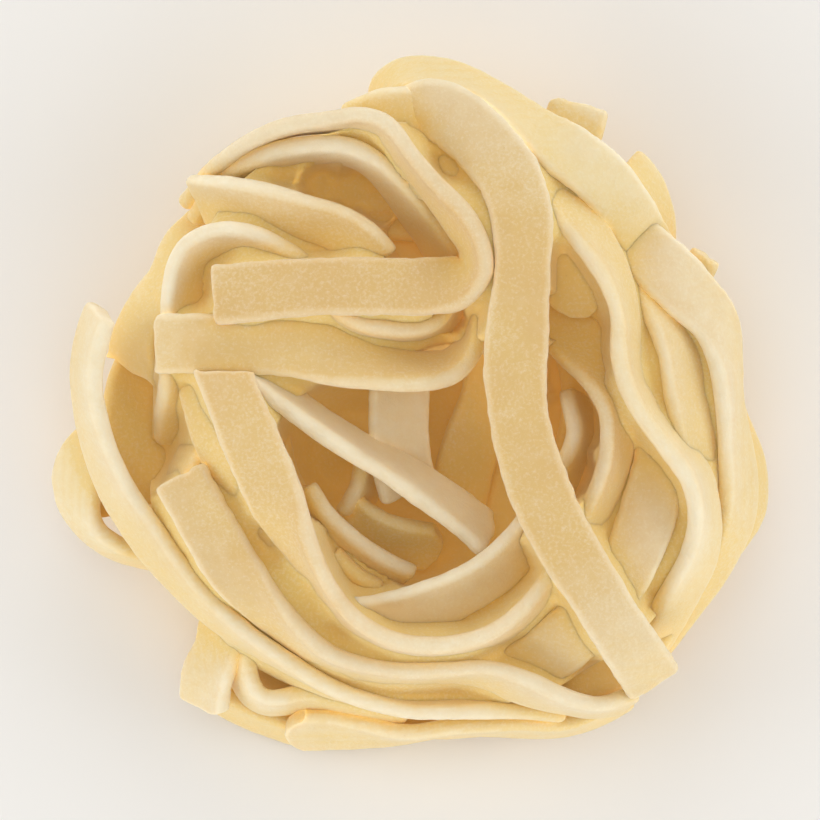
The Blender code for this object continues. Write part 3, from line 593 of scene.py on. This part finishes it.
def strandMesh(name, points, number):
    own = special.get(name, {})
    points = smoothRoute(points, parts=8)
    run = runAlong(points)
    length = run[-1]
    endRound = ribbon["endRound"]
    near = np.array(ribbon["endSections"])
    steps = max(4, math.ceil((length - 2 * endRound) / ribbon["sectionStep"]))
    middle = np.linspace(endRound, length - endRound, steps)
    stations = np.concatenate([near, middle, length - near[::-1]])
    points = pointsAt(points, run, stations)
    along, side, up = directions(points)
    count, sides = len(points), len(outline)
    s = np.repeat(stations, sides)
    toEnd = np.minimum(s, length - s)
    u, v, nu, nv = [np.tile(outline[:, k], count) for k in range(4)]
    share = u / (ribbon["width"] / 2)
    cut = np.abs(nu)

    # width, thickness, rounded ends, rough cut edges and cupping
    # the odd offsets keep one ribbon's unevenness apart from the next one's
    where = np.stack([s + 53.7 * number, share * 0.4, np.full(len(s), number * 3.3)], axis=1)
    lengthwise, ragged = where * (1, 0, 1), where * (1, 2.5, 1)
    amount, reach = ribbon["widthDrift"]
    wide = 1 + amount * uneven(lengthwise, reach) / (ribbon["width"] / 2)
    amount, reach = ribbon["thicknessDrift"]
    thick = 1 + amount * uneven(lengthwise + 11.3, reach)
    roundOff = endRound - np.minimum(toEnd, endRound)
    inset = endRound - np.sqrt(np.maximum(endRound**2 - roundOff**2, 0))
    coarse, fine = ribbon["edgeReach"]
    wobble = uneven(ragged, coarse) + ribbon["edgeFine"] * uneven(ragged + 5.1, fine)
    wobble *= own.get("rough", ribbon["edgeRough"])
    taperWide, taperThick = ribbon["endTaper"]
    u = u * wide - inset * nu * taperWide + np.sign(u) * wobble * cut
    v = v * thick - inset * nv * taperThick
    amount, reach = ribbon["cupDrift"]
    bow = ribbon["cup"] * (1 + amount * uneven(lengthwise + 23.9, reach))
    v += (-bow if number % 3 == 0 else bow) * (share**2 - ribbon["cupLevel"])

    # torn or slanting ends
    slip = np.zeros(len(s))
    jag = ribbon["endJag"] * uneven(np.stack([share * 3.2 + 9 * number, 0 * s, 0 * s], axis=1), 1.0)
    for key, far, sign in (("first", s, -1), ("last", length - s, 1)):
        hold = np.clip(1 - far / ribbon["endReach"], 0, 1) ** 1.5
        overhang = own.get(key, (0.0, 0.0))
        torn = np.interp(share, np.linspace(-1, 1, len(overhang)), overhang) + jag
        slip += sign * hold * torn

    # the surface, eased on to the floor
    i = np.repeat(np.arange(count), sides)
    verts = points[i, :3] + side[i] * u[:, None] + up[i] * v[:, None] + along[i] * slip[:, None]
    normal = side[i] * nu[:, None] + up[i] * nv[:, None]
    amount, reach = ribbon["surfaceDrift"]
    drift = amount * uneven(verts + 7.7 * number, reach)
    coarse, fine = ribbon["grainReach"]
    grain = uneven(verts + 3.1 * number, coarse) + ribbon["grainFine"] * uneven(verts + number, fine)
    verts += normal * (drift + ribbon["surfaceGrain"] * grain)[:, None]
    soft = ribbon["floorSoft"]
    low = verts[:, 2] < soft
    verts[low, 2] = soft * np.exp((verts[low, 2] - soft) / soft)

    # quads along the run, then the two cut faces
    k = np.arange(sides // 2 - 1)
    cap = np.stack([k, k + 1, sides - 2 - k, sides - 1 - k], axis=1)
    quads = np.concatenate([ringQuads(count, sides), cap, (cap + (count - 1) * sides)[:, ::-1]])
    # painted light: cut faces and ends are paler with flour and a painted highlight, the outer ribbons
    # with painted side light, and some single ribbons with painted light of their own
    endNear = np.clip(1 - toEnd / ribbon["endPale"], 0, 1)
    edgeAndLight = ribbon["edgePaleAndHighlight"] * np.maximum(cut * ribbon["sidePale"], endNear)
    edgeAndLight += paintedRimLight(verts) + own.get("paleAndLit", 0)
    warm = own.get("warm", ribbon["warm"] + ribbon["warm"] * math.sin(number * 2.3))
    return {
        "verts": verts,
        "quads": quads,
        "edgeAndLight": np.clip(edgeAndLight, 0, 1),
        "warm": np.full(len(s), warm),
        "shade": np.full(len(s), own.get("shade", 0.0)),
    }


def makePiece(name, parts, material):
    verts, quads, start = [], [], 0
    for part in parts:
        verts.append(part["verts"])
        quads.append(part["quads"] + start)
        start += len(part["verts"])
    verts, quads = np.concatenate(verts), np.concatenate(quads)
    mesh = bpy.data.meshes.new(name)
    mesh.from_pydata((verts * mm).tolist(), [], quads.tolist())
    for key in ("edgeAndLight", "warm", "shade", "depth"):
        layer = mesh.attributes.new(key, "FLOAT", "POINT")
        layer.data.foreach_set("value", np.concatenate([p[key] for p in parts]).astype(np.float32))
    mesh.shade_smooth()
    made = bpy.data.objects.new(name, mesh)
    bpy.context.scene.collection.objects.link(made)
    made.data.materials.append(material)
    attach(made, "root")
    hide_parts("pasta_nest")
    print(f"{name}: {len(parts)} ribbons, {2 * len(quads)} triangles")
    return made


# Maps of the highest dough over each cell of a square, for the core and for the depth of a place
mapHalf = 56


def cellsOf(places, cell, margin=0):
    last = int(2 * mapHalf / cell) - 1
    return np.clip(((places[:, :2] + mapHalf) / cell).astype(int), margin, last - margin)


def topMap(places, cell, lowest):
    size = int(2 * mapHalf / cell)
    heights = np.full((size, size), lowest)
    i = cellsOf(places, cell)
    np.maximum.at(heights, (i[:, 0], i[:, 1]), places[:, 2])
    return heights


# How far each place lies below what surrounds it, which is where the colour gets painted shade in the
# grooves and a painted orange glow in the hollow
depthLook = {"cell": 1.0, "near": 7}


def addDepth(parts):
    cell, near = depthLook["cell"], depthLook["near"]
    top = topMap(np.concatenate([p["verts"] for p in parts]), cell, 0.0)
    around = itertools.product(range(-near, near + 1), repeat=2)
    steps = [step for step in around if 1 <= math.hypot(*step) <= near]
    for part in parts:
        height = part["verts"][:, 2]
        i = cellsOf(part["verts"], cell, near)
        total, weight = np.zeros(len(height)), 0
        for dx, dy in steps:
            far = math.hypot(dx, dy)
            rise = np.maximum(top[i[:, 0] + dx, i[:, 1] + dy] - height, 0)
            total += np.arctan(rise / (far * cell)) / (0.5 * math.pi) / far
            weight += 1 / far
        part["depth"] = np.maximum(total / weight + np.minimum(part["shade"], 0), 0)


# A socket that can be added, subtracted and multiplied
class Value:
    def __init__(self, paint, socket):
        self.paint, self.socket = paint, socket

    def maths(self, operation, first, second, clamp=False):
        settings = {"operation": operation, "use_clamp": clamp}
        return self.paint.node("Math", settings, {0: first, 1: second})

    def __add__(self, other):
        return self.maths("ADD", self, other)

    def __radd__(self, other):
        return self.maths("ADD", other, self)

    def __sub__(self, other):
        return self.maths("SUBTRACT", self, other)

    def __rsub__(self, other):
        return self.maths("SUBTRACT", other, self)

    def __mul__(self, other):
        return self.maths("MULTIPLY", self, other)

    def __rmul__(self, other):
        return self.maths("MULTIPLY", other, self)

    def clamped(self):
        return self.maths("ADD", self, 0.0, clamp=True)


class Paint:
    def __init__(self, name):
        self.material = bpy.data.materials.new(name)
        self.material.use_nodes = True
        self.tree = self.material.node_tree
        self.tree.nodes.clear()

    def node(self, kind, settings=None, inputs=None, output=0):
        made = self.tree.nodes.new("ShaderNode" + kind)
        for key, value in (settings or {}).items():
            if key == "stops":
                for n, (place, colour) in enumerate(value):
                    stop = made.color_ramp.elements[n] if n < 2 else made.color_ramp.elements.new(place)
                    stop.position, stop.color = place, colour
            else:
                setattr(made, key, value)
        for key, value in (inputs or {}).items():
            if isinstance(value, Value):
                self.tree.links.new(value.socket, made.inputs[key])
            else:
                made.inputs[key].default_value = value
        return Value(self, made.outputs[output]) if len(made.outputs) else None

    def mixed(self, share, first, second):  # sockets 6, 7 and output 2 are the colours
        return self.node("Mix", {"data_type": "RGBA"}, {0: share, 6: first, 7: second}, 2)

    def attribute(self, name):
        return self.node("Attribute", {"attribute_name": name}, output=2)

    def mottle(self, place, scale, roughness):
        inputs = {"Vector": place, "Scale": scale, "Detail": 3.0, "Roughness": roughness}
        return self.node("TexNoise", {}, inputs)


doughLook = {
    "face": (0.77, 0.525, 0.22, 1),
    # pale is a flour cream, also the colour of painted highlights and painted light; yellow is a yellower
    # dough, also the painted yellow of light through shaded dough
    "paleAndLit": (0.95, 0.86, 0.64, 1),
    "yellow": (0.91, 0.71, 0.26, 1),
    # painted shade and glow: an orange deep in the hollow, a yellowed shade in the grooves, and a brown
    # for ribbons in shade
    "deep": (0.92, 0.62, 0.20, 1),
    "grooveShade": (0.86, 0.62, 0.20, 1),
    "shaded": (0.60, 0.365, 0.095, 1),
    "flour": (0.96, 0.88, 0.72, 1),
    "speck": (0.62, 0.40, 0.16, 1),
    "broad": (90.0, 0.5),  # scale and roughness of a mottle
    "medium": (420.0, 0.6),
    "fine": (2400.0, 0.7),
    "spots": 260.0,
    "yellowPatches": 0.7,
    "paleFromEdgeAndLight": 0.85,
    "palePatches": 0.5,
    # how the painted groove shade and the painted hollow glow grow with depth
    "grooveShadeRise": 4.0,
    "grooveShadeStart": 0.3,
    "grooveShadeMost": 0.8,
    "deepRise": 1.7,
    "deepStart": 0.6,
    "flourStart": 0.48,
    "flourRise": 2.2,
    "flourPatches": 0.6,
    "flourMost": 0.5,
    "speckSize": 0.045,
    "speckMost": 0.35,
    "roughness": 0.62,
    "roughPatches": 0.25,
    "roughEdge": 0.08,
    "grainFine": 0.6,
    "grainMedium": 0.7,
    "grainEdge": 0.8,
    "bump": 0.35,
    "bumpHeight": 0.00022,
    "ior": 1.42,
    "gloss": 0.35,
    "glow": (1.0, 0.75, 0.4),
    "glowReach": 0.0011,
    "glowShare": 1.0,
    "sheen": 0.4,
    "sheenRoughness": 0.5,
    # how strongly the hollow's painted glow is emitted
    "deepLight": 0.14,
}


def doughMaterial():
    look = doughLook
    paint = Paint("pasta_dough")
    place = paint.node("TexCoord", output=3)  # the piece's own coordinates
    edgeAndLight, warm, shade, depth = [paint.attribute(name) for name in ("edgeAndLight", "warm", "shade", "depth")]
    broad, medium, fine = [paint.mottle(place, *look[name]) for name in ("broad", "medium", "fine")]
    spot = paint.node("TexVoronoi", {}, {"Vector": place, "Scale": look["spots"], "Randomness": 1.0})

    # the flat faces, mottled, and paler towards the cut edges with flour and a painted highlight, and on
    # the outer and hollow ribbons with painted light
    yellowShare = (warm + (broad - 0.5) * look["yellowPatches"]).clamped()
    colour = paint.mixed(yellowShare, look["face"], look["yellow"])
    paleAndLitShare = (edgeAndLight * look["paleFromEdgeAndLight"] + (medium - 0.5) * look["palePatches"]).clamped()
    colour = paint.mixed(paleAndLitShare, colour, look["paleAndLit"])

    # painted shade on the ribbons in shade, then painted shade in the grooves and a painted orange glow
    # in the hollow
    colour = paint.mixed(shade.clamped(), colour, look["shaded"])
    grooveShadeShare = (depth * look["grooveShadeRise"] - look["grooveShadeStart"]).clamped() * look["grooveShadeMost"]
    colour = paint.mixed(grooveShadeShare, colour, look["grooveShade"])
    deepShare = (depth * look["deepRise"] - look["deepStart"]).clamped()
    colour = paint.mixed(deepShare, colour, look["deep"])

    # flour on the open faces, and brown specks
    dusted = (fine - look["flourStart"]) * look["flourRise"] + (broad - 0.5) * look["flourPatches"]
    colour = paint.mixed(dusted.clamped() * look["flourMost"] * (1 - deepShare), colour, look["flour"])
    stops = [(0.0, (1, 1, 1, 1)), (look["speckSize"], (0, 0, 0, 1))]
    speckShare = paint.node("ValToRGB", {"stops": stops}, {0: spot}) * look["speckMost"]
    colour = paint.mixed(speckShare, colour, look["speck"])

    rough = look["roughness"] + (medium - 0.5) * look["roughPatches"] + edgeAndLight * look["roughEdge"]
    grain = fine * look["grainFine"] + medium * look["grainMedium"] + edgeAndLight * fine * look["grainEdge"]
    bump = {"Strength": look["bump"], "Distance": look["bumpHeight"], "Height": grain}
    shader = paint.node("BsdfPrincipled", {"subsurface_method": "BURLEY"}, {
        "Base Color": colour,
        "Roughness": rough,
        "Normal": paint.node("Bump", {}, bump),
        "IOR": look["ior"],
        "Specular IOR Level": look["gloss"],
        "Subsurface Weight": look["glowShare"],
        "Subsurface Radius": look["glow"],
        "Subsurface Scale": look["glowReach"],
        "Sheen Weight": look["sheen"],
        "Sheen Roughness": look["sheenRoughness"],
        # painted glow: the hollow's orange is also emitted, as if light came through the dough
        "Emission Color": paint.mixed(deepShare, (0, 0, 0, 1), look["deep"]),
        "Emission Strength": look["deepLight"],
    })
    paint.node("OutputMaterial", {}, {"Surface": shader})
    return paint.material


# The laid and wound ribbons settle together; all are moved across the floor so that these are centred on
# the solid's own box
def layRibbons():
    named = {**laidRoutes, **woundRoutes()}
    routes = dict(zip(named, settle([spacedRoute(knots) for knots in named.values()])))
    for name, knots in {**innerRoutes(), **underRoutes()}.items():
        routes[name] = spacedRoute(knots)
    strands = {name: strandMesh(name, points, n) for n, (name, points) in enumerate(routes.items())}
    shown = np.concatenate([strands[name]["verts"] for name in named])
    low, high = shown.min(0), shown.max(0)
    shift = (np.array(nestBox[0]) + np.array(nestBox[1]))[:2] / 2 / mm - (low + high)[:2] / 2
    for strand in strands.values():
        strand["verts"][:, :2] += shift
    print("ribbons laid, shifted by", shift.round(2), "mm")
    return strands


# The core: it follows the laid ribbons from just below, and sinks where the nest is open
core = {
    "sides": 180,
    "rings": 80,
    "cell": 0.8,
    "open": 3.0,  # the map's height where no ribbon lies
    "fill": 2.4,  # gaps up to twice this wide are filled
    "deepest": 3.6,
    "share": 0.45,
    "under": 1.0,
    "below": 1.7,
    "inset": 2.2,
    "lowest": 5.0,
    "underside": (  # share of the reach, and height
        (1.0, 5.0), (0.98, 1.7), (0.9, 1.5), (0.5, 1.5), (0.02, 1.5),
    ),
    "rough": (0.5, 5.0),
    "roughAbove": 4,
    # painted light and shade on the core: a little painted side light towards the rim, the painted yellow
    # of light in the grooves, and painted shade under the ribbons
    "paleAndLit": 0.15,
    "warm": 0.9,
    "shade": 0.2,
    "wellFlat": 0.55,  # share of a well's radius that is flat
    "wellRise": 18,
    "wellWall": 60,
    "wells": (  # x, y, radius and floor of each opening
        (-7, -6, 9, 13), (2, -10, 12, 12), (6, -2, 9, 12), (2, -16, 7, 13), (20, 4, 4, 17),
        (20, -2, 4.5, 16), (19, -8, 4, 16), (-11, 27.5, 3.0, 19), (-7, 27, 3.4, 18),
        (-3.5, 25.5, 3.4, 18), (1, 21, 4.2, 16), (4, 18, 3, 16), (5, 11, 2.0, 20), (19, 11, 3, 19),
    ),
}


def heightAt(heights, place):
    cell = np.floor(place).astype(int)
    (i, j), (u, v) = cell, place - cell
    low = heights[i, j] * (1 - u) + heights[i + 1, j] * u
    high = heights[i, j + 1] * (1 - u) + heights[i + 1, j + 1] * u
    return low * (1 - v) + high * v


def spread(heights, reach, pick=np.max):
    around = itertools.product(range(-reach, reach + 1), repeat=2)
    disc = [step for step in around if math.hypot(*step) <= reach + 0.3]
    return pick([np.roll(heights, step, (0, 1)) for step in disc], axis=0)


def closed(heights, reach):
    return spread(spread(heights, reach), reach, np.min)


def blurred(heights):
    around = itertools.product((-1, 0, 1), repeat=2)
    return sum(np.roll(heights, step, (0, 1)) for step in around) / 9


def coreHeights(laid):
    crest = closed(topMap(laid, core["cell"], core["open"]), 1)
    filled = closed(crest, round(core["fill"] / core["cell"]))
    least = np.maximum(crest, filled - core["deepest"])
    heights = blurred(blurred(least + core["share"] * (filled - least) - core["under"]))
    capped = np.minimum(heights, crest - core["below"])
    return blurred(np.where(crest > core["open"], capped, heights))


def coreTop(heights, x, y):
    z = heightAt(heights, (np.stack([x, y]) + mapHalf) / core["cell"] - 0.5)
    z = np.maximum(z, core["lowest"])
    for wellX, wellY, radius, floor in core["wells"]:
        away = np.hypot(x - wellX, y - wellY) / radius
        rise = core["wellRise"] * np.maximum(away - core["wellFlat"], 0) ** 1.5
        z = np.minimum(z, floor + rise + core["wellWall"] * np.maximum(away - 1, 0))
    return z


def coreStrand(laid):
    heights = coreHeights(laid)
    turns = np.linspace(0, 2 * math.pi, core["sides"], endpoint=False)
    far = np.array([wallReach(math.degrees(a)) - core["inset"] for a in turns])
    levels = [(share, None) for share in np.linspace(0.02, 1, core["rings"])] + [*core["underside"]]
    rings = []
    for share, height in levels:
        x, y = far * share * np.cos(turns), far * share * np.sin(turns)
        z = coreTop(heights, x, y) if height is None else np.full(len(x), height)
        rings.append(np.stack([x, y, z], axis=1))
    verts = np.concatenate(rings)
    amount, reach = core["rough"]
    verts[:, 2] += amount * uneven(verts, reach) * (verts[:, 2] > core["roughAbove"])
    return {
        "verts": verts,
        "quads": ringQuads(len(rings), len(turns)),
        "edgeAndLight": core["paleAndLit"] * paintedRimLight(verts),
        "warm": np.full(len(verts), core["warm"]),
        "shade": np.full(len(verts), core["shade"]),
    }


stage = {
    "size": 6,
    "floor": (0.90, 0.89, 0.87, 1),
    "roughness": 0.8,
    "world": (1.0, 0.985, 0.96, 1),
    "worldStrength": 0.55,
}
lamps = {  # azimuth, elevation, distance, size, watts
    "left": (180, 22, 0.7, 0.5, 1.35),
    "front": (270, 22, 0.7, 0.5, 1.4),
    "right": (0, 22, 0.7, 0.5, 1.4),
    "back": (90, 22, 0.7, 0.5, 1.25),
    "above": (120, 80, 0.9, 0.5, 0.6),
}


def makeStage():
    bpy.ops.mesh.primitive_plane_add(size=stage["size"])
    floor = bpy.context.object
    floor.name = "floor"
    paint = Paint("pale_floor")
    inputs = {"Base Color": stage["floor"], "Roughness": stage["roughness"]}
    shader = paint.node("BsdfPrincipled", {}, inputs)
    paint.node("OutputMaterial", {}, {"Surface": shader})
    floor.data.materials.append(paint.material)
    world = bpy.data.worlds.new("studio")
    bpy.context.scene.world = world
    world.use_nodes = True
    back = world.node_tree.nodes["Background"]
    back.inputs["Color"].default_value = stage["world"]
    back.inputs["Strength"].default_value = stage["worldStrength"]
    for name, (azimuth, elevation, distance, size, watts) in lamps.items():
        light = bpy.data.lights.new(name, "AREA")
        light.shape, light.size, light.energy = "DISK", size, watts
        lamp = bpy.data.objects.new(name, light)
        bpy.context.scene.collection.objects.link(lamp)
        a, e = math.radians(azimuth), math.radians(elevation)
        way = Vector((math.cos(a) * math.cos(e), math.sin(a) * math.cos(e), math.sin(e)))
        lamp.location = way * distance
        lamp.rotation_euler = lamp.location.to_track_quat("Z", "Y").to_euler()
    print(f"stage: floor and {len(lamps)} lamps")


# The camera looks straight down, and its frame is this wide at the height of the upper ribbons
camera = {
    "distance": 1.2,
    "frame": 0.1025,
    "height": 0.024,
    "aim": (0.0, -0.0006),
    "sensor": 36,
    "clip": (0.05, 20),
}


def makeCamera():
    lens = bpy.data.cameras.new("camera")
    lens.sensor_width = camera["sensor"]
    lens.lens = camera["sensor"] * (camera["distance"] - camera["height"]) / camera["frame"]
    lens.clip_start, lens.clip_end = camera["clip"]
    eye = bpy.data.objects.new("camera", lens)
    eye.location = (*camera["aim"], camera["distance"])
    bpy.context.scene.collection.objects.link(eye)
    bpy.context.scene.camera = eye


# The pieces; laid ribbons that aren't named here are the front ones
groups = {
    "top_ribbons": (
        "crossing", "underCrossing", "foldedBack", "innerArch", "upperSlat", "leftShoulder", "lowerSlat",
        "lensArc", "topLoop", "hangingTongue", "topCutEnd", "backShoulder", "rightCurve",
    ),
    "wound_ribbons": tuple(woundRoutes()),
    "inner_ribbons": tuple(innerRoutes()),
    "under_ribbons": tuple(underRoutes()),
}
taken = {name for names in groups.values() for name in names}
groups["front_ribbons"] = tuple(name for name in laidRoutes if name not in taken)

dough = doughMaterial()
strands = layRibbons()
coreBody = coreStrand(np.concatenate([strands[name]["verts"] for name in laidRoutes]))
addDepth([*strands.values(), coreBody])
print("core made, and each place's depth taken")
for name, members in groups.items():
    makePiece(name, [strands[m] for m in members], dough)
makePiece("core", [coreBody], dough)
makeStage()
makeCamera()
bpy.context.scene.view_settings.view_transform = "Standard"
